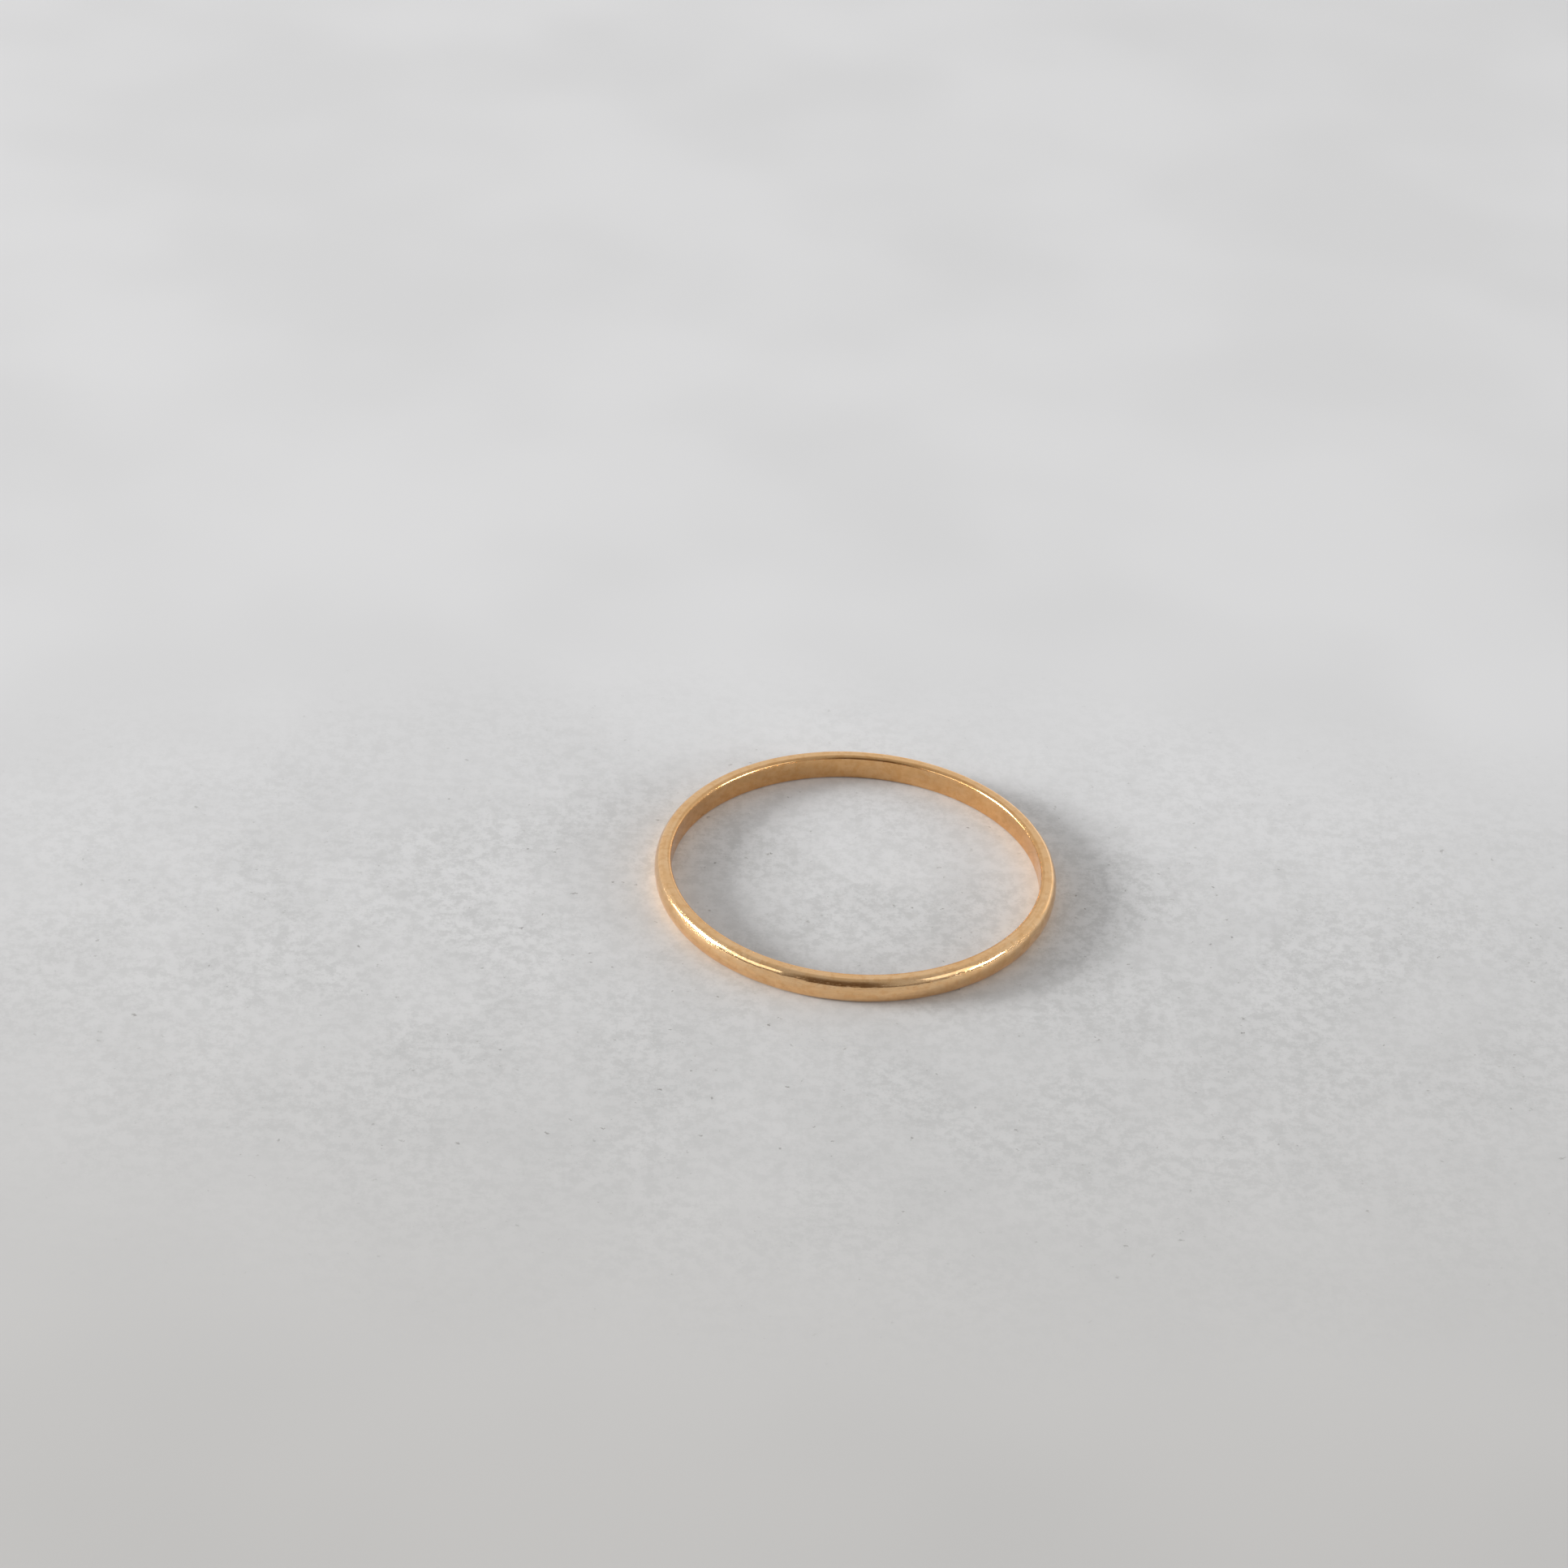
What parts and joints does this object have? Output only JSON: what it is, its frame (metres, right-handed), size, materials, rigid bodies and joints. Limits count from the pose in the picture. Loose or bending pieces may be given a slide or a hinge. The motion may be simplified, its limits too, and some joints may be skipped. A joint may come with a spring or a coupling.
{
  "type": "stackable ring",
  "caption": "Plain thin gold finger ring for stacking, with a flat inner wall, flat side faces and a domed outer face.",
  "frame": {"origin": "centre of the circle that the ring rests on when it lies on its side, at the height of its lower side face", "axes": "+Z along the axis of the finger hole, from the lower side face to the upper one; X and Y are in the plane of the ring, which is the same all round"},
  "size_m": [0.0188, 0.0188, 0.0012],
  "materials": {
    "polished_gold": "polished yellow gold with a slight rose tint and fine scratches from wear"
  },
  "bodies": {
    "root": {"ring_band": "polished_gold"}
  },
  "joints": []
}
